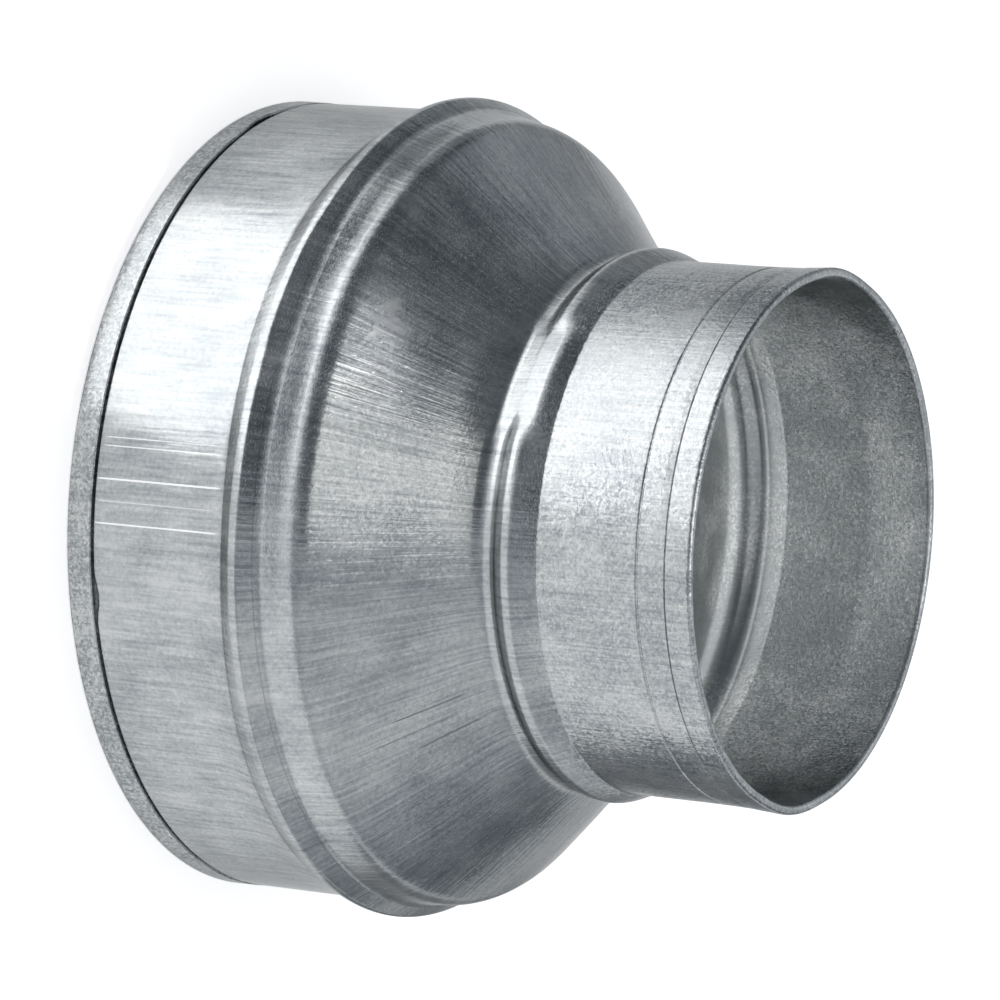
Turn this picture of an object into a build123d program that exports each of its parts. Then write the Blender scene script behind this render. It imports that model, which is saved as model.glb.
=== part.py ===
# Concentric round duct reducer, 150 to 100, pressed and rolled from one blank of galvanised steel.
# Both ends are plain collars that push into a duct until it meets the stop bead behind them.
# +Z is the duct's axis: the large end stands on Z = 0, the small end is up.
import os
from math import atan2, radians, sin, tan

from build123d import *

# Driving dimensions, in millimetres and degrees
sheet = 0.7                  # gauge of the steel, the same all along the section
large_od = 149.0             # large collar, which goes into a 150 duct
small_od = 98.6              # small collar, which goes into a 100 duct

# Hems: each edge is folded outwards over its collar, into a step that keeps it nearly flush
hem_width = 5.1
hem_proud = 0.08             # how far the cut edge stands above the collar
hem_swell = 0.12             # how much further the fold stands out at the rim
hem_loop = 0.45              # air inside the fold, at the rim
hem_nip = 0.1                # air under the cut edge, where the fold closes on the wall
rim_flat = 0.2               # flat ring at the tip of the fold
step_slit = 0.35             # open slit between the cut edge and the foot of the step
large_step_angle = 50.0      # slope of the step beside the cut edge, short on the large end
large_step_bend = 0.55
small_step_angle = 27.5      # and long on the small end, with a crease round the collar
small_step_bend = 0.8

# Large collar, its stop bead and the shoulder behind the bead
large_collar = 33.1          # rim to the foot of the bead
bead_height = 2.65
bead_front_angle = 38.0
bead_back_angle = 38.5
bead_foot_bend = 2.4
bead_crest_bend = 1.2
bead_back_bend = 3.5
shoulder_drop = 1.05         # how far the shoulder's far end lies below the collar
shoulder_fall = 0.95         # how far it falls along its length
shoulder_length = 7.32
shoulder_bend = 6.0

# Cone, and the neck where it runs out into the small stop bead
cone_angle = 46.7
neck_dip = 0.9               # corner of the neck below the small collar
neck_length = 5.65           # neck to crest, along the axis
neck_bend = 4.0
small_bead_height = 2.45
small_bead_back = 4.95       # crest to small collar, along the axis
small_bead_bend = 2.5
small_foot_bend = 1.3

# Small collar and the fine line rolled into it
small_collar = 31.6          # foot of the bead to the rim
line_place = 10.8            # distance from the rim
line_width = 0.6
line_depth = 0.15

# Radii of the sheet's middle line, and the sizes of the fold, the step and the bead's corner
half = sheet / 2
large_r = large_od / 2 - half
small_r = small_od / 2 - half
shoulder_r = large_r - shoulder_drop
neck_r = small_r - neck_dip
fold_bend = (sheet + hem_loop - rim_flat) / 2
step_rise = sheet + hem_nip - hem_proud
front, back, slope = (radians(angle) for angle in (bead_front_angle, bead_back_angle, cone_angle))
small_back = atan2(small_bead_height, small_bead_back)
crest_loss = bead_crest_bend * ((sin(front) + sin(back)) / sin(front + back) - 1)
bead_corner = bead_height + crest_loss

# Heights of the corners, from the large rim up
crest_z = large_collar + bead_corner / tan(front)
shoulder_z = crest_z + (bead_corner + shoulder_drop - shoulder_fall) / tan(back)
cone_z = shoulder_z + shoulder_length
neck_z = cone_z + (shoulder_r - neck_r) / tan(slope)
small_crest_z = neck_z + neck_length
small_foot_z = small_crest_z + small_bead_back
length = small_foot_z + small_collar


def hem(collar_r, rim_z, inwards, step_angle, step_bend):
    """Corners and bends of a hem, from its cut edge round the fold to the step; inwards is +1 or -1."""
    edge_r = collar_r + hem_proud
    tip_r = edge_r + hem_swell
    tip_z = rim_z + inwards * half
    foot_z = rim_z + inwards * (hem_width + step_slit)
    corners = [
        (edge_r, rim_z + inwards * hem_width),
        (tip_r, tip_z),
        (tip_r - sheet - hem_loop, tip_z),
        (collar_r - step_rise, foot_z),
        (collar_r, foot_z + inwards * step_rise / tan(radians(step_angle))),
    ]
    return corners, [fold_bend, fold_bend, step_bend, step_bend]


def thicken(middle):
    """Section of the folded sheet: each face runs half a gauge to one side of the middle line."""
    def beside(line, at, side):
        return line @ at + (line % at).rotate(Axis.Z, 90) * side * half

    outline = [Line(beside(middle, at, 1), beside(middle, at, -1)) for at in (0, 1)]
    for side in (1, -1):
        for stretch in middle.edges():
            start, mid, end = (beside(stretch, at, side) for at in (0, 0.5, 1))
            straight = stretch.geom_type == GeomType.LINE
            outline.append(Line(start, end) if straight else ThreePointArc(start, mid, end))
    return make_face(outline)


# Middle line of the sheet, from the cut edge of one hem to the cut edge of the other
large_hem, large_hem_bends = hem(large_r, 0, 1, large_step_angle, large_step_bend)
small_hem, small_hem_bends = hem(small_r, length, -1, small_step_angle, small_step_bend)
wall = [
    (large_r, large_collar),
    (large_r + bead_corner, crest_z),
    (shoulder_r + shoulder_fall, shoulder_z),
    (shoulder_r, cone_z),
    (neck_r, neck_z),
    (small_r + small_bead_height, small_crest_z),
    (small_r, small_foot_z),
]
wall_bends = [
    bead_foot_bend,
    bead_crest_bend,
    bead_back_bend,
    shoulder_bend,
    neck_bend,
    small_bead_bend,
    small_foot_bend,
]
middle = FilletPolyline(
    *large_hem, *wall, *reversed(small_hem),
    radius=[*large_hem_bends, *wall_bends, *reversed(small_hem_bends)],
)
reducer = revolve(Plane.XZ * thicken(middle), Axis.Z)

# Fine line: a shallow V groove round the small collar
groove = Polygon((0, line_width / 2), (-line_depth, 0), (0, -line_width / 2), (line_depth, 0), align=None)
reducer -= revolve(Plane.XZ * Pos(small_od / 2, length - line_place) * groove, Axis.Z)

# Parted where the two ducts stop, because collision follows each solid by itself: a duct pushed on
# over a collar then meets nothing before its bead
large_stop = large_collar - bead_foot_bend * tan(front / 2)
small_stop = small_foot_z + small_foot_bend * tan(small_back / 2)
for stop_z in (large_stop, small_stop):
    reducer = split(reducer, bisect_by=Plane.XY.offset(stop_z), keep=Keep.BOTH)

reducer.label = "reducer"
os.makedirs("parts", exist_ok=True)
export_step(reducer, "parts/reducer.step")
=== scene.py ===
from math import atan2, ceil, cos, degrees, hypot, pi, radians, sin, tan

import bpy
from mathutils import Matrix, Quaternion, Vector


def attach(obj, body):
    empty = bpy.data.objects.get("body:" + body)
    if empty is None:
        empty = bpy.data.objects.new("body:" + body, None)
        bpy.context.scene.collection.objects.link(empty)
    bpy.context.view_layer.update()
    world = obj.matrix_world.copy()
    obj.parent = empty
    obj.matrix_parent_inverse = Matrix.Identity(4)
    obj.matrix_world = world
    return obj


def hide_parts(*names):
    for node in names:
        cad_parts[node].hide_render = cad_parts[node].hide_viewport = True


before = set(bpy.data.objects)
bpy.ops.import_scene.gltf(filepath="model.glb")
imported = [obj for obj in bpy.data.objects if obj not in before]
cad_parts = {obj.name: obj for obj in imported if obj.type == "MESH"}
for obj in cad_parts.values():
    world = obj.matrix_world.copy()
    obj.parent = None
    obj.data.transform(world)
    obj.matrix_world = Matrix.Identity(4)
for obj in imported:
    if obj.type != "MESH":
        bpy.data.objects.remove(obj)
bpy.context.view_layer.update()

# Reducer: one blank of galvanised sheet steel, drawn and rolled into a large collar, a stop bead,
# a cone, a small stop bead and a small collar. Both edges are folded outwards into flat hems,
# and the large end stands on the floor. Sizes are in millimetres, as in the part's own source.
MM = 0.001
sheet, large_od, small_od = 0.7, 149.0, 98.6
half = sheet / 2
large_r = large_od / 2 - half
small_r = small_od / 2 - half
hem_width, hem_proud, hem_swell = 5.1, 0.08, 0.12
hem_loop, hem_nip, rim_flat, step_slit = 0.45, 0.1, 0.2, 0.35
large_step, large_step_bend = radians(50.0), 0.55
small_step, small_step_bend = radians(27.5), 0.8
large_collar, small_collar = 33.1, 31.6
bead_height, bead_front, bead_back = 2.65, radians(38.0), radians(38.5)
foot_bend, crest_bend, back_bend = 2.4, 1.2, 3.5
shoulder_drop, shoulder_fall, shoulder_length, shoulder_bend = 1.05, 0.95, 7.32, 6.0
cone_slope, neck_dip, neck_length, neck_bend = radians(46.7), 0.9, 5.65, 4.0
small_bead_height, small_bead_back, small_crest_bend, small_foot_bend = 2.45, 4.95, 2.5, 1.3
line_place, line_width, line_depth = 10.8, 0.6, 0.15

shoulder_r = large_r - shoulder_drop
neck_r = small_r - neck_dip
bead_corner = bead_height + crest_bend * (
    (sin(bead_front) + sin(bead_back)) / sin(bead_front + bead_back) - 1
)
crest_z = large_collar + bead_corner / tan(bead_front)
shoulder_z = crest_z + (bead_corner + shoulder_drop - shoulder_fall) / tan(bead_back)
cone_z = shoulder_z + shoulder_length
neck_z = cone_z + (shoulder_r - neck_r) / tan(cone_slope)
small_crest_z = neck_z + neck_length
small_foot_z = small_crest_z + small_bead_back
length = small_foot_z + small_collar

# Mesh along the section: the turn from point to point on tight and on wide bends, the fewest steps on a
# bend, the longest step on plain runs and round the small bead, and how close a point stands to each end
# of a run
tight_bend, tight_turn, wide_turn, fewest_steps = 1.0, radians(22), radians(8), 3
plain_step, fine_step, end_step = 3.0, 1.0, 0.2
fine_from, fine_to = neck_z - 3, small_foot_z + 2


def hem_corners(collar_r, rim_z, inwards, step_angle):
    """Corners (radius, height) of a hem's middle line, from its cut edge round the fold to the step."""
    edge_r = collar_r + hem_proud
    tip_r = edge_r + hem_swell
    tip_z = rim_z + inwards * half
    foot_z = rim_z + inwards * (hem_width + step_slit)
    step_rise = sheet + hem_nip - hem_proud
    return [
        (edge_r, rim_z + inwards * hem_width),
        (tip_r, tip_z),
        (tip_r - sheet - hem_loop, tip_z),
        (collar_r - step_rise, foot_z),
        (collar_r, foot_z + inwards * step_rise / tan(step_angle)),
    ]


def bent_line(corners, bends):
    """Points along a folded line with its corners bent to their radii, each with its left-hand normal."""
    stations = []
    for k, corner in enumerate(corners):
        here = Vector(corner)
        before = (here - Vector(corners[k - 1])).normalized() if k else None
        after = (Vector(corners[k + 1]) - here).normalized() if k < len(corners) - 1 else None
        if before is None or after is None:
            way = after or before
            stations.append((here, Vector((-way.y, way.x))))
            continue
        bend = bends[k - 1]
        turn = atan2(before.x * after.y - before.y * after.x, before.dot(after))
        start = here - before * bend * tan(abs(turn) / 2)
        normal = Vector((-before.y, before.x))
        side = 1 if turn > 0 else -1
        centre = start + normal * bend * side
        steps = max(fewest_steps, ceil(abs(turn) / (tight_turn if bend < tight_bend else wide_turn)))
        for step in range(steps + 1):
            spun = Matrix.Rotation(turn * step / steps, 2) @ normal
            stations.append((centre - spun * bend * side, spun))
    nearly_parallel = 0.99999
    filled = [stations[0]]
    for (low, low_normal), (high, high_normal) in zip(stations, stations[1:]):
        run = (high - low).length
        straight = low_normal.dot(high_normal) > nearly_parallel
        if straight and run > 4 * end_step:
            between = run - 2 * end_step
            longest = fine_step if fine_from < low.y < fine_to else plain_step
            count = max(1, ceil(between / longest))
            for part in range(count + 1):
                filled.append((low.lerp(high, (end_step + between * part / count) / run), low_normal))
        filled.append((high, high_normal))
    return filled


def rolled_line(face, face_r, z):
    """Presses a shallow round groove into the straight face at radius face_r, at height z."""
    near = 0.001
    face[:] = [p for p in face if abs(p.x - face_r) > near or abs(p.y - z) > line_width]
    k = next(k for k, p in enumerate(face) if abs(p.x - face_r) < near and p.y > z)
    dips = ((-0.7, 0), (-0.45, 0.12), (-0.2, 0.75), (0, 1), (0.2, 0.75), (0.45, 0.12), (0.7, 0))
    face[k:k] = [Vector((face_r - line_depth * dip, z + line_width * place)) for place, dip in dips]


fold_bends = [(sheet + hem_loop - rim_flat) / 2] * 2
large_hem_bends = fold_bends + [large_step_bend] * 2
small_hem_bends = fold_bends + [small_step_bend] * 2
wall_corners = [
    (large_r, large_collar),
    (large_r + bead_corner, crest_z),
    (shoulder_r + shoulder_fall, shoulder_z),
    (shoulder_r, cone_z),
    (neck_r, neck_z),
    (small_r + small_bead_height, small_crest_z),
    (small_r, small_foot_z),
]
wall_bends = [
    foot_bend, crest_bend, back_bend, shoulder_bend, neck_bend, small_crest_bend, small_foot_bend
]
middle = bent_line(
    hem_corners(large_r, 0, 1, large_step)
    + wall_corners
    + hem_corners(small_r, length, -1, small_step)[::-1],
    large_hem_bends + wall_bends + small_hem_bends[::-1],
)
inner_face = [point + normal * half for point, normal in middle]
outer_face = [point - normal * half for point, normal in middle]
rolled_line(outer_face, small_r + half, length - line_place)

# Beside the small hem the step is pressed nearly flush, so that it shows as a thin slit, and inside, the
# small collar narrows evenly towards the rim
crease_z, slit_z, crease_fall = length - 6.9, length - hem_width - 0.25, 0.1
for point in outer_face:
    if crease_z < point.y < slit_z:
        share = (point.y - crease_z) / (slit_z - crease_z)
        point.x = max(point.x, small_r + half - crease_fall * share)
taper_from, taper_to, taper_in = length - 13, length - 1.2, 0.95
for point in inner_face:
    if taper_from < point.y < taper_to and point.x < small_r:
        share = (point.y - taper_from) / (taper_to - taper_from)
        point.x = small_r - half - taper_in * share
section = inner_face + outer_face[::-1]

section_mesh = bpy.data.meshes.new("reducer_section")
section_mesh.from_pydata([(p.x * MM, 0, p.y * MM) for p in section], [], [])
reducer = bpy.data.objects.new("reducer_sheet", section_mesh)
bpy.context.collection.objects.link(reducer)


def add_node(tree, kind, inputs=None, **settings):
    """Adds a node, with its settings, and its inputs as values or as sockets to link."""
    made = tree.nodes.new(kind)
    for name, value in settings.items():
        setattr(made, name, value)
    for name, value in (inputs or {}).items():
        if isinstance(value, bpy.types.NodeSocket):
            tree.links.new(value, made.inputs[name])
        else:
            made.inputs[name].default_value = value
    return made


def srgb(code):
    """Linear colour of an sRGB hex value."""
    parts = (int(code[k : k + 2], 16) / 255 for k in (1, 3, 5))
    return (*(c / 12.92 if c <= 0.04045 else ((c + 0.055) / 1.055) ** 2.4 for c in parts), 1)


def way_to(around, up):
    """Unit vector outwards: angle round the axis from -Y towards -X, and angle above the floor."""
    around, up = radians(around), radians(up)
    return Vector((-sin(around) * cos(up), -cos(around) * cos(up), sin(up)))


# Galvanised sheet steel, cold rolled, bright zinc: mirror-like at a distance, but broken up by fine
# streaks along the sheet, a pebbly grain, flat zinc crystals that wink, cloudy handling marks and a few
# scratches, the light ones with a painted glint, and a crease with painted shade. Inside, painted light,
# painted glints and painted shade. Sizes are in millimetres; streaks, grain and crystals are drawn coarse
# enough to show.
galvanised = bpy.data.materials.new("galvanised_sheet_steel")
galvanised.use_nodes = True
tree = galvanised.node_tree
shader = tree.nodes["Principled BSDF"]
shader.inputs["Metallic"].default_value = 1
shader.inputs["Specular Tint"].default_value = srgb("#C4C4C4")

here = add_node(tree, "ShaderNodeTexCoord").outputs["Object"]
here = add_node(tree, "ShaderNodeVectorMath", {0: here, "Scale": 1 / MM}, operation="SCALE").outputs[0]
above = add_node(tree, "ShaderNodeSeparateXYZ", {0: here}).outputs["Z"]
level = add_node(tree, "ShaderNodeVectorMath", {0: here, 1: (1, 1, 0)}, operation="MULTIPLY").outputs[0]
outward = add_node(tree, "ShaderNodeVectorMath", {0: level}, operation="NORMALIZE").outputs[0]
# Along the sheet: a place round the axis, as on a drum of that radius, and the height pressed short
drum, along = 60.0, 0.05
lengthwise = add_node(
    tree, "ShaderNodeVectorMath", {0: here, 1: (0, 0, along)}, operation="MULTIPLY"
).outputs[0]
lengthwise = add_node(
    tree,
    "ShaderNodeVectorMath",
    {0: outward, 1: (drum, drum, drum), 2: lengthwise},
    operation="MULTIPLY_ADD",
).outputs[0]
true_normal = add_node(tree, "ShaderNodeNewGeometry").outputs["True Normal"]
inside = add_node(
    tree, "ShaderNodeVectorMath", {0: true_normal, 1: outward}, operation="DOT_PRODUCT"
).outputs["Value"]
inside = add_node(
    tree,
    "ShaderNodeMapRange",
    {"Value": inside, "From Min": -0.4, "From Max": -0.1, "To Min": 1, "To Max": 0},
).outputs[0]

streak_size, hair_size, grain_size, crystal_size, cloud_size = 1.2, 0.45, 0.8, 0.45, 13.0
streaks = add_node(
    tree,
    "ShaderNodeTexNoise",
    {"Vector": lengthwise, "Scale": 1 / streak_size, "Detail": 3, "Roughness": 0.6},
).outputs[0]
hairs = add_node(
    tree, "ShaderNodeTexNoise", {"Vector": lengthwise, "Scale": 1 / hair_size, "Detail": 1}
).outputs[0]
grain = add_node(
    tree, "ShaderNodeTexNoise", {"Vector": here, "Scale": 1 / grain_size, "Detail": 2, "Roughness": 0.65}
).outputs[0]
clouds = add_node(
    tree, "ShaderNodeTexNoise", {"Vector": here, "Scale": 1 / cloud_size, "Detail": 4, "Roughness": 0.6}
).outputs[0]
crystals = add_node(tree, "ShaderNodeTexVoronoi", {"Vector": here, "Scale": 1 / crystal_size})
lean = add_node(
    tree, "ShaderNodeVectorMath", {0: crystals.outputs["Color"], 1: (0.5, 0.5, 0.5)}, operation="SUBTRACT"
).outputs[0]
offset = add_node(
    tree, "ShaderNodeVectorMath", {0: here, 1: crystals.outputs["Position"]}, operation="SUBTRACT"
).outputs[0]
facets = add_node(
    tree, "ShaderNodeVectorMath", {0: lean, 1: offset}, operation="DOT_PRODUCT"
).outputs["Value"]

# How pebbly the sheet is up its height: most on the large hem, then on the drawn small collar, and
# least on the small bead, which the roller polished. The inside is a little smoother all over.
most_pebbly, smoothing = 2.4, 0.15
pebbly_up = (
    (0, 0.75), (hem_width, 0.75), (hem_width + 0.4, 0.12), (48, 0.12), (56, 0.2), (67, 0.2),
    (70, 0.05), (79, 0.05), (83, 0.42), (length, 0.42),
)
share_up = add_node(tree, "ShaderNodeMath", {0: above, 1: length}, operation="DIVIDE").outputs[0]
ramp = add_node(tree, "ShaderNodeValToRGB", {0: share_up})
for place, _ in pebbly_up[1:-1]:
    ramp.color_ramp.elements.new(place / length)
for element, (_, amount) in zip(ramp.color_ramp.elements, pebbly_up):
    element.color = (amount, amount, amount, 1)
kept = add_node(
    tree,
    "ShaderNodeMath",
    {0: inside, 1: -smoothing * most_pebbly, 2: most_pebbly},
    operation="MULTIPLY_ADD",
).outputs[0]
pebbly = add_node(tree, "ShaderNodeMath", {0: ramp.outputs[0], 1: kept}, operation="MULTIPLY").outputs[0]

# Heights of the relief. Streaks are shallower where the sheet is pebbly, and nearly gone inside.
grain_height, facet_height, hair_height = 0.09, 0.12, 0.03
streak_height, pebbly_streak_height, streaks_lost = 0.12, 0.06, 0.85
streaky = add_node(
    tree,
    "ShaderNodeMapRange",
    {
        "Value": pebbly,
        "From Min": 0.3,
        "From Max": 1,
        "To Min": streak_height,
        "To Max": pebbly_streak_height,
    },
).outputs[0]
streaks_left = add_node(
    tree, "ShaderNodeMath", {0: inside, 1: -streaks_lost, 2: 1}, operation="MULTIPLY_ADD"
).outputs[0]
streaky = add_node(tree, "ShaderNodeMath", {0: streaky, 1: streaks_left}, operation="MULTIPLY").outputs[0]
pebbles = add_node(tree, "ShaderNodeMath", {0: grain, 1: grain_height}, operation="MULTIPLY").outputs[0]
pebbles = add_node(
    tree, "ShaderNodeMath", {0: facets, 1: facet_height, 2: pebbles}, operation="MULTIPLY_ADD"
).outputs[0]
height = add_node(tree, "ShaderNodeMath", {0: hairs, 1: hair_height}, operation="MULTIPLY").outputs[0]
for pattern, amount in ((pebbles, pebbly), (streaks, streaky)):
    height = add_node(
        tree, "ShaderNodeMath", {0: pattern, 1: amount, 2: height}, operation="MULTIPLY_ADD"
    ).outputs[0]
bump = add_node(tree, "ShaderNodeBump", {"Strength": 1, "Distance": MM, "Height": height})
tree.links.new(bump.outputs[0], shader.inputs["Normal"])

# Colour outside: clouds, streaks, hairs, grain and crystals each lighten or darken it about the middle.
# A Mix node's inputs 6 and 7 are its two colours, and its output 2 is the mixed one.
shares = ((clouds, 1.6), (streaks, 0.8), (hairs, 1.0), (grain, 1.0))
speckle_share = 0.55
tone = 0.5 - 0.5 * sum(share for _, share in shares)
for pattern, share in shares:
    tone = add_node(
        tree, "ShaderNodeMath", {0: pattern, 1: share, 2: tone}, operation="MULTIPLY_ADD"
    ).outputs[0]
leans = add_node(tree, "ShaderNodeSeparateXYZ", {0: lean}).outputs
speckle = add_node(tree, "ShaderNodeMath", {0: leans["X"], 1: pebbly}, operation="MULTIPLY").outputs[0]
tone = add_node(
    tree, "ShaderNodeMath", {0: speckle, 1: speckle_share, 2: tone}, operation="MULTIPLY_ADD"
).outputs[0]
colour = add_node(
    tree, "ShaderNodeMix", {0: tone, 6: srgb("#8C9194"), 7: srgb("#C2C4C4")}, data_type="RGBA"
).outputs[2]

# Colour inside: painted lighter than outside, a painted light on the inside, cloudy, with painted glints
# on the crystals and painted shade down the side away from the front
painted_glint, most_painted_shade, inside_light_share = 0.34, 0.25, 0.7
inside_tone_and_light = add_node(
    tree, "ShaderNodeMath", {0: leans["Y"], 1: painted_glint, 2: clouds}, operation="MULTIPLY_ADD"
).outputs[0]
# Painted shade down the far side of the inside
far_painted_shade = add_node(
    tree, "ShaderNodeVectorMath", {0: outward, 1: way_to(180, 0)}, operation="DOT_PRODUCT"
).outputs["Value"]
far_painted_shade = add_node(
    tree,
    "ShaderNodeMapRange",
    {"Value": far_painted_shade, "From Min": 0.62, "From Max": 0.97, "To Max": most_painted_shade},
    interpolation_type="SMOOTHSTEP",
).outputs[0]
inside_tone_and_light = add_node(tree, "ShaderNodeMath", {0: inside_tone_and_light, 1: far_painted_shade}, operation="SUBTRACT").outputs[0]
inside_tone_and_light = add_node(
    tree, "ShaderNodeMapRange", {"Value": inside_tone_and_light, "From Min": 0.25, "From Max": 0.75}
).outputs[0]
inside_tone_and_light = add_node(
    tree, "ShaderNodeMix", {0: inside_tone_and_light, 6: srgb("#A2A6A7"), 7: srgb("#F5F6F6")}, data_type="RGBA"
).outputs[2]
# Painted light: the inside is painted lighter than the outside
inside_painted_light = add_node(tree, "ShaderNodeMath", {0: inside, 1: inside_light_share}, operation="MULTIPLY").outputs[0]
colour = add_node(
    tree, "ShaderNodeMix", {0: inside_painted_light, 6: colour, 7: inside_tone_and_light}, data_type="RGBA"
).outputs[2]

# Scratches: place round the axis in degrees, width, where they start and end up the wall, and colour. The
# light ones are painted brighter than the steel, a painted glint; the dark ones are dark marks.
# A line is full and gone at these shares of its width, and its ends fade over that length.
line_full, line_gone, end_fade = 0.2, 0.6, 1.4
scratches_and_glints = (
    (5.6, 0.2, 6.4, 31.0, "#E4E4E4"),
    (4.4, 0.25, 6.4, 32.0, "#F0F0F0"),
    (-0.2, 0.36, 5.6, 32.6, "#FFFFFF"),
    (-3.3, 0.2, 6.0, 31.4, "#D8D8D8"),
    (-6.4, 0.32, 5.6, 32.4, "#FFFFFF"),
    (28.0, 0.2, 37.5, 47.0, "#D8D8D8"),
    (-38.0, 0.3, 57.0, 68.0, "#6E7175"),
    (-41.5, 0.22, 54.0, 66.0, "#787B7F"),
    (-45.0, 0.3, 59.0, 69.0, "#6E7175"),
)
for around, width, low, high, code in scratches_and_glints:
    aside = add_node(
        tree, "ShaderNodeVectorMath", {0: here, 1: way_to(around + 90, 0)}, operation="DOT_PRODUCT"
    ).outputs["Value"]
    aside = add_node(tree, "ShaderNodeMath", {0: aside}, operation="ABSOLUTE").outputs[0]
    line = add_node(
        tree,
        "ShaderNodeMapRange",
        {
            "Value": aside,
            "From Min": line_full * width,
            "From Max": line_gone * width,
            "To Min": 1,
            "To Max": 0,
        },
    ).outputs[0]
    front = add_node(
        tree, "ShaderNodeVectorMath", {0: here, 1: way_to(around, 0)}, operation="DOT_PRODUCT"
    ).outputs["Value"]
    front = add_node(tree, "ShaderNodeMath", {0: front, 1: 0}, operation="GREATER_THAN").outputs[0]
    middle_z, half_length = (low + high) / 2, (high - low) / 2
    reach = add_node(tree, "ShaderNodeMath", {0: above, 1: middle_z}, operation="SUBTRACT").outputs[0]
    reach = add_node(tree, "ShaderNodeMath", {0: reach}, operation="ABSOLUTE").outputs[0]
    reach = add_node(
        tree,
        "ShaderNodeMapRange",
        {
            "Value": reach,
            "From Min": half_length - end_fade,
            "From Max": half_length,
            "To Min": 1,
            "To Max": 0,
        },
    ).outputs[0]
    line = add_node(tree, "ShaderNodeMath", {0: line, 1: front}, operation="MULTIPLY").outputs[0]
    line = add_node(tree, "ShaderNodeMath", {0: line, 1: reach}, operation="MULTIPLY").outputs[0]
    # Each scratch's colour mixed in: on the light ones a painted glint
    colour = add_node(
        tree, "ShaderNodeMix", {0: line, 6: colour, 7: srgb(code)}, data_type="RGBA"
    ).outputs[2]

# Crease that the bead roller left at the foot of the bead's back, on a plane that leans with the bead,
# painted as a dark line: painted shade in the crease
roller_plane, roller_z, roller_width, crease_shade = (0.0074, 0, 1), 40.1, 0.22, 0.35
ring = add_node(
    tree, "ShaderNodeVectorMath", {0: here, 1: roller_plane}, operation="DOT_PRODUCT"
).outputs["Value"]
ring = add_node(tree, "ShaderNodeMath", {0: ring, 1: roller_z}, operation="SUBTRACT").outputs[0]
ring = add_node(tree, "ShaderNodeMath", {0: ring}, operation="ABSOLUTE").outputs[0]
ring = add_node(
    tree,
    "ShaderNodeMapRange",
    {
        "Value": ring,
        "From Min": line_full * roller_width,
        "From Max": line_gone * roller_width,
        "To Min": crease_shade,
        "To Max": 0,
    },
).outputs[0]
# Painted shade in the crease
colour = add_node(
    tree, "ShaderNodeMix", {0: ring, 6: colour, 7: srgb("#5E6165")}, data_type="RGBA"
).outputs[2]
tree.links.new(colour, shader.inputs["Base Color"])

# Clouds are also duller or brighter, and the inside is duller than the outside
bright_rough, dull_rough, inside_rough = 0.19, 0.28, 0.1
rough = add_node(
    tree,
    "ShaderNodeMapRange",
    {"Value": clouds, "From Min": 0.35, "From Max": 0.65, "To Min": bright_rough, "To Max": dull_rough},
).outputs[0]
rough = add_node(
    tree, "ShaderNodeMath", {0: inside, 1: inside_rough, 2: rough}, operation="MULTIPLY_ADD"
).outputs[0]
tree.links.new(rough, shader.inputs["Roughness"])

# The tree turns the section round the axis: a grid takes one column a step, and one row for each point
# of the section, with the first point again at the end to close it. Points within the seam are merged.
steps_wanted, seam = 280, 1e-7
turning = bpy.data.node_groups.new("turned_sheet", "GeometryNodeTree")
turning.interface.new_socket("Section", in_out="INPUT", socket_type="NodeSocketGeometry")
turning.interface.new_socket("Steps round", in_out="INPUT", socket_type="NodeSocketInt")
turning.interface.new_socket("Sheet", in_out="OUTPUT", socket_type="NodeSocketGeometry")
given = add_node(turning, "NodeGroupInput")
outline = given.outputs["Section"]
steps_round = given.outputs["Steps round"]
count = add_node(turning, "GeometryNodeAttributeDomainSize", {0: outline}).outputs["Point Count"]
across = add_node(turning, "ShaderNodeMath", {0: steps_round, 1: 1}, operation="ADD").outputs[0]
down = add_node(turning, "ShaderNodeMath", {0: count, 1: 1}, operation="ADD").outputs[0]
grid = add_node(turning, "GeometryNodeMeshGrid", {"Vertices X": across, "Vertices Y": down})
index = add_node(turning, "GeometryNodeInputIndex").outputs[0]
column = add_node(turning, "ShaderNodeMath", {0: index, 1: down}, operation="DIVIDE").outputs[0]
column = add_node(turning, "ShaderNodeMath", {0: column}, operation="FLOOR").outputs[0]
row = add_node(turning, "ShaderNodeMath", {0: index, 1: down}, operation="MODULO").outputs[0]
row = add_node(turning, "ShaderNodeMath", {0: row, 1: count}, operation="MODULO").outputs[0]
place = add_node(turning, "GeometryNodeInputPosition").outputs[0]
point = add_node(
    turning,
    "GeometryNodeSampleIndex",
    {"Geometry": outline, "Value": place, "Index": row},
    data_type="FLOAT_VECTOR",
).outputs[0]
share = add_node(turning, "ShaderNodeMath", {0: column, 1: steps_round}, operation="DIVIDE").outputs[0]
angle = add_node(turning, "ShaderNodeMath", {0: share, 1: 2 * pi}, operation="MULTIPLY").outputs[0]
turned = add_node(
    turning, "ShaderNodeVectorRotate", {"Vector": point, "Angle": angle}, rotation_type="Z_AXIS"
).outputs[0]
surface = add_node(
    turning, "GeometryNodeSetPosition", {"Geometry": grid.outputs["Mesh"], "Position": turned}
).outputs[0]
surface = add_node(
    turning, "GeometryNodeMergeByDistance", {"Geometry": surface, "Distance": seam}
).outputs[0]
surface = add_node(turning, "GeometryNodeSetShadeSmooth", {"Geometry": surface}).outputs[0]
surface = add_node(turning, "GeometryNodeRealizeInstances", {"Geometry": surface}).outputs[0]
surface = add_node(
    turning, "GeometryNodeSetMaterial", {"Geometry": surface, "Material": galvanised}
).outputs[0]
add_node(turning, "NodeGroupOutput", {"Sheet": surface})

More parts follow.
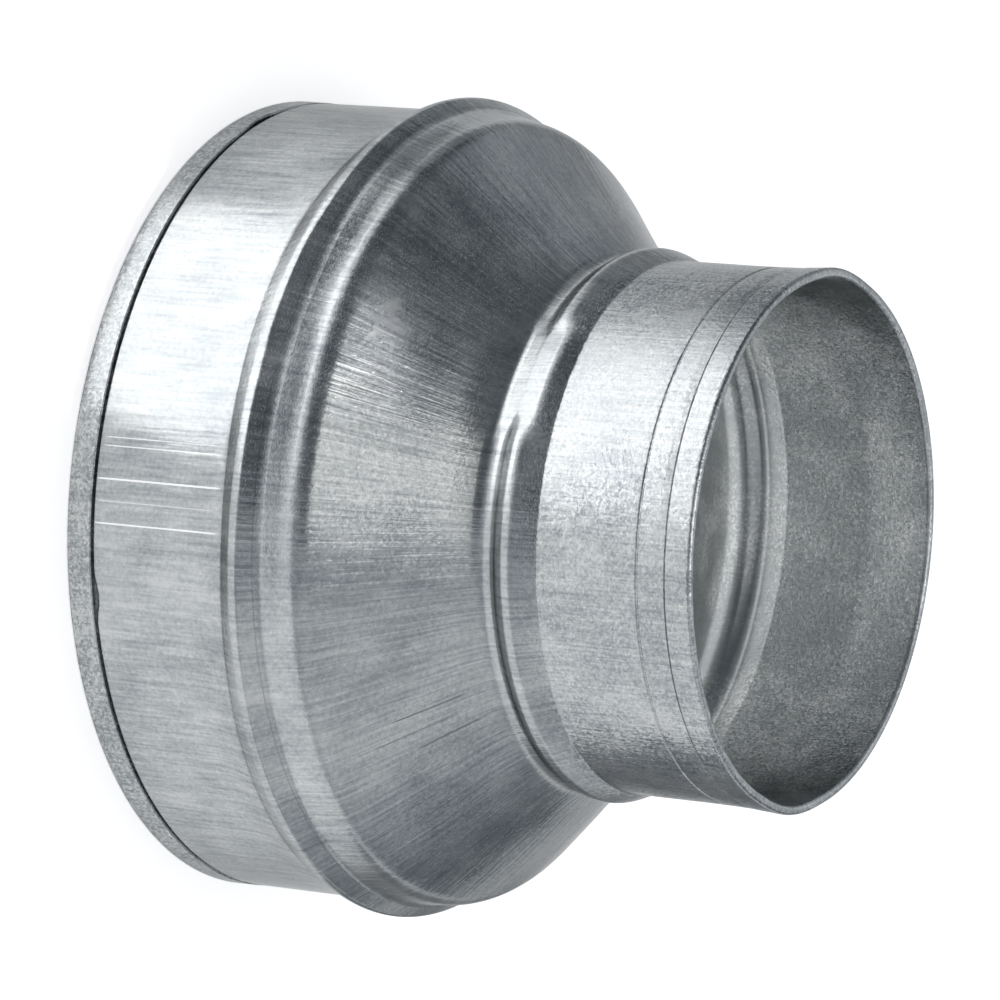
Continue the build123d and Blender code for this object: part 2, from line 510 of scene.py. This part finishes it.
modifier = reducer.modifiers.new("turned_sheet", "NODES")
modifier.node_group = turning
sockets = {s.name: s.identifier for s in turning.interface.items_tree if s.in_out == "INPUT"}
modifier[sockets["Steps round"]] = steps_wanted
depsgraph = bpy.context.evaluated_depsgraph_get()
turned_mesh = bpy.data.meshes.new_from_object(reducer.evaluated_get(depsgraph))
reducer.modifiers.remove(modifier)
reducer.data = turned_mesh
if sum(f.area * f.normal.dot(f.center) for f in turned_mesh.polygons) < 0:
    turned_mesh.flip_normals()

# Out of true, as the photo shows it. Angles run round the axis from -Y towards -X.
# Large bead: it leans, its foot is drawn out on the left and filled in, most on the right, and its back
# banks up on the shoulder, less so in one spot
lean_rise, lean_reach = 0.85, crest_z - 8
draw_at, draw_wide, draw_out = 30.0, 40.0, 0.9
fill_at, fill_wide, fill_in, fill_down = -45.0, 47.0, 1.25, 6.0
ease_at, ease_wide, ease_in = 30.0, 60.0, 0.35
bank_at, bank_wide, bank_rise, bank_z, bank_reach = 32.0, 85.0, 1.05, 41.2, 4.4
spot_at, spot_wide, spot_low, spot_short = 30.0, 15.0, 0.4, 1.4
# Cone, neck and foot of the small bead: a little to one side, or higher
cone_shift, cone_middle, cone_reach = 0.45, 58.0, 20.0
neck_shift, neck_reach, foot_shift, foot_reach = 0.8, 4.8, 0.6, 4.6
# Small bead: pressed flat in one place, where the neck lies higher still
flat_at, flat_wide, flat_sharp, flat_shift = 30.5, 17.0, 2.5, 1.6
flat_z, flat_start_z, flat_r, flat_slope = neck_z - 1.45, neck_z + 0.55, neck_r + half + 1.7, 0.105
# Large hem: the slit beside its cut edge gapes in two places, on the hem's side and on the wall's side
leaf_top, leaf_inside_r = hem_width + 0.1, large_r + hem_proud - half - 0.05
gape_at, gape_wide, gape_depth = 68.0, 6.5, 0.95
dent_at, dent_wide, dent_rise, dent_fade = -17.0, 3.6, 1.0, 3.0
# Mouth: two blunt corners, one on each side
corner_at, corner_wide, corner_out, corner_start = 90.0, 16.0, 0.5, 96.0


def swell(distance, reach):
    """A smooth hump, 1 at no distance and 0 from reach on."""
    return max(0, 1 - (distance / reach) ** 2) ** 2


inner_side = [vertex.normal.xy.dot(vertex.co.xy) < 0 for vertex in turned_mesh.vertices]
for vertex, inner in zip(turned_mesh.vertices, inner_side):
    x, y, z = vertex.co / MM
    r, around = hypot(x, y), degrees(atan2(-x, -y))
    way = radians(around)
    rise = lean_rise * sin(way) * swell(z - crest_z, lean_reach)
    rise -= draw_out * swell(around - draw_at, draw_wide) * swell(z - large_collar, crest_z - large_collar)
    pressed = min(1, flat_sharp * swell(around - flat_at, flat_wide))
    rise += (neck_shift + flat_shift * pressed) * swell(z - neck_z, neck_reach)
    rise += foot_shift * swell(z - small_foot_z, foot_reach)
    fill_reach = fill_down if z < large_collar else crest_z - large_collar
    filled = fill_in * swell(around - fill_at, fill_wide) + ease_in * swell(around - ease_at, ease_wide)
    r += filled * swell(z - large_collar, fill_reach)
    spot = swell(around - spot_at, spot_wide)
    banked = bank_rise * swell(around - bank_at, bank_wide) * (1 - spot_low * spot)
    r += banked * swell(z - bank_z, bank_reach - spot_short * spot)
    if flat_z < z < small_foot_z:
        chord = flat_r + flat_slope * (z + rise - flat_start_z) - (sheet if inner else 0)
        r += pressed * ((chord if z < small_crest_z else min(r, chord)) - r)
    if z < leaf_top and r > leaf_inside_r:
        rise -= gape_depth * swell(around - gape_at, gape_wide) * (z / hem_width) ** 3
    if leaf_top < z < hem_width + dent_fade:
        rise += dent_rise * swell(around - dent_at, dent_wide) * (1 - (z - hem_width) / dent_fade)
    if z > corner_start:
        near_rim = ((z - corner_start) / (length - corner_start)) ** 2
        r += corner_out * near_rim * swell(abs(around) - corner_at, corner_wide)
    shift = cone_shift * swell(z - cone_middle, cone_reach)
    vertex.co = Vector((shift - r * sin(way), -r * cos(way), z + rise)) * MM

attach(reducer, "root")
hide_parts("reducer")

# Floor: a sheet of matt white paper, wide enough to fill every view. It is lifted towards white
# for the camera and for reflections, and keeps the reducer's shadow. Sizes are in metres.
floor_size, floor_lift = 8, 0.72
bpy.ops.mesh.primitive_plane_add(size=floor_size)
floor = bpy.context.object
floor.name = "studio_floor"
paper = bpy.data.materials.new("matt_white_paper")
paper.use_nodes = True
tree = paper.node_tree
tree.nodes.clear()
path = add_node(tree, "ShaderNodeLightPath").outputs
seen = add_node(
    tree, "ShaderNodeMath", {0: path["Is Camera Ray"], 1: path["Is Glossy Ray"]}, operation="MAXIMUM"
).outputs[0]
seen = add_node(
    tree, "ShaderNodeMath", {0: seen, 1: path["Is Transmission Ray"]}, operation="MAXIMUM"
).outputs[0]
ground = add_node(tree, "ShaderNodeTexCoord").outputs["Object"]

# Under the reducer the paper is whiter, which lights the reducer's inside
hidden_lift, hidden_r, hidden_edge = 0.88, 0.066, 0.006
beneath = add_node(tree, "ShaderNodeVectorMath", {0: ground}, operation="LENGTH").outputs["Value"]
beneath = add_node(
    tree,
    "ShaderNodeMapRange",
    {"Value": beneath, "From Min": hidden_r, "From Max": hidden_r + hidden_edge, "To Min": 1, "To Max": 0},
).outputs[0]
lift = add_node(
    tree,
    "ShaderNodeMath",
    {0: beneath, 1: hidden_lift - floor_lift, 2: floor_lift},
    operation="MULTIPLY_ADD",
).outputs[0]
lift = add_node(tree, "ShaderNodeMath", {0: seen, 1: lift}, operation="MULTIPLY").outputs[0]

# Two soft zones of painted shade on the floor, one on each side, that the bright steel mirrors and the
# camera doesn't see: how grey each is, and along which axis it starts or ends, with where it is clear and
# where it is full
ground_axes = add_node(tree, "ShaderNodeSeparateXYZ", {0: ground}).outputs
shades = (
    (1.0, (("X", 0.095, 0.125), ("X", 0.5, 0.35), ("Y", -0.01, 0.04), ("Y", 0.32, 0.2))),
    (0.95, (("X", -0.165, -0.215), ("Y", -0.035, 0.02), ("Y", 1.6, 0.8))),
)
shaded = 0
for shade, edges in shades:
    for axis, clear, full in edges:
        edge = add_node(
            tree,
            "ShaderNodeMapRange",
            {"Value": ground_axes[axis], "From Min": clear, "From Max": full},
            interpolation_type="SMOOTHSTEP",
        ).outputs[0]
        shade = add_node(tree, "ShaderNodeMath", {0: shade, 1: edge}, operation="MULTIPLY").outputs[0]
    shaded = add_node(tree, "ShaderNodeMath", {0: shaded, 1: shade}, operation="ADD").outputs[0]
mirrored = add_node(
    tree, "ShaderNodeMath", {0: 1, 1: path["Is Camera Ray"]}, operation="SUBTRACT"
).outputs[0]
shaded = add_node(tree, "ShaderNodeMath", {0: shaded, 1: mirrored}, operation="MULTIPLY").outputs[0]
# Paper colour with the painted shade zones mixed in
white = add_node(
    tree, "ShaderNodeMix", {0: shaded, 6: srgb("#EAEAEA"), 7: srgb("#86888A")}, data_type="RGBA"
).outputs[2]
white = add_node(
    tree, "ShaderNodeMix", {0: beneath, 6: white, 7: srgb("#FFFFFF")}, data_type="RGBA"
).outputs[2]
glow = add_node(tree, "ShaderNodeEmission", {"Color": white, "Strength": lift}).outputs[0]
matt = add_node(tree, "ShaderNodeBsdfDiffuse", {"Color": white}).outputs[0]
both = add_node(tree, "ShaderNodeAddShader", {0: matt, 1: glow}).outputs[0]
add_node(tree, "ShaderNodeOutputMaterial", {"Surface": both})
floor.data.materials.append(paper)

# Studio: a grey room, darker on the left, high in front and behind on the right, and brighter on the
# right and high behind. Each wall has its place, the angles where it is full and where it ends, and a
# colour. A softbox hangs in front, a lamp overhead, and a gridded lamp lights the floor on the left.
world = bpy.data.worlds.new("studio")
bpy.context.scene.world = world
world.use_nodes = True
tree = world.node_tree
tree.nodes.clear()
facing = add_node(tree, "ShaderNodeTexCoord").outputs["Generated"]
room = srgb("#BBC0C6")
walls = (
    (98, 15, 22, 48, "#686D73"),
    (70, 26, 18, 38, "#666B71"),
    (22, 33, 16, 34, "#63686E"),
    (122, 1, 8, 18, "#5A5F65"),
    (138, 17, 9, 22, "#B0B5BB"),
    (-142, 4, 14, 36, "#7E848B"),
    (-66, 32, 12, 38, "#EEF0F2"),
    (180, 38, 22, 42, "#E6E9EC"),
)
for around, up, full, edge, code in walls:
    toward = add_node(
        tree, "ShaderNodeVectorMath", {0: facing, 1: way_to(around, up)}, operation="DOT_PRODUCT"
    ).outputs["Value"]
    share = add_node(
        tree,
        "ShaderNodeMapRange",
        {"Value": toward, "From Min": cos(radians(edge)), "From Max": cos(radians(full))},
        interpolation_type="SMOOTHSTEP",
    ).outputs[0]
    room = add_node(
        tree, "ShaderNodeMix", {0: share, 6: room, 7: srgb(code)}, data_type="RGBA"
    ).outputs[2]
background = add_node(tree, "ShaderNodeBackground", {"Color": room}).outputs[0]
add_node(tree, "ShaderNodeOutputWorld", {"Surface": background})


def add_lamp(name, size, brightness, colour, place, aim):
    """Adds a rectangular lamp of that brightness, at place, facing aim."""
    light = bpy.data.lights.new(name, "AREA")
    light.shape = "RECTANGLE"
    light.size, light.size_y = size
    light.color = colour
    light.energy = brightness * pi * size[0] * size[1]
    lamp = bpy.data.objects.new(name, light)
    lamp.location = place
    lamp.rotation_euler = (Vector(aim) - Vector(place)).to_track_quat("-Z", "Y").to_euler()
    lamp.visible_camera = False
    bpy.context.collection.objects.link(lamp)
    return lamp


warm, neutral = (1, 0.97, 0.92), (1, 1, 1)
centre, softbox_distance = Vector((0, 0, 0.06)), 1.9
softbox_place = centre + softbox_distance * way_to(15, 58)
add_lamp("softbox", (1.0, 0.4), 1.5, warm, softbox_place, centre)
add_lamp("overhead", (0.7, 0.7), 3.0, neutral, (-0.1, -0.1, 1.8), (-0.1, -0.1, 0))
pool, pool_height = Vector((-0.1325, -0.1625, 0)), Vector((0, 0, 0.6))
floor_lamp = add_lamp("floor_lamp", (0.225, 0.205), 6.4, neutral, pool + pool_height, pool)
floor_lamp.data.spread = radians(2)

# Camera: a long lens from in front, 29 degrees above the floor, rolled so that the duct lies across
# the picture with its large end on the left.
camera = bpy.data.cameras.new("camera")
camera.lens = 221.675
camera.sensor_width = 36
camera.clip_end = 50
aim, distance, roll = Vector((-0.002407, 0, 0.047362)), 1.151173, radians(95.1592)
backwards = way_to(-0.13725, 29.21709)
turn = (-backwards).to_track_quat("-Z", "Y") @ Quaternion((0, 0, 1), roll)
eye = bpy.data.objects.new("camera", camera)
eye.matrix_world = Matrix.LocRotScale(aim + distance * backwards, turn, None)
bpy.context.collection.objects.link(eye)
bpy.context.scene.camera = eye
bpy.context.scene.view_settings.view_transform = "Standard"
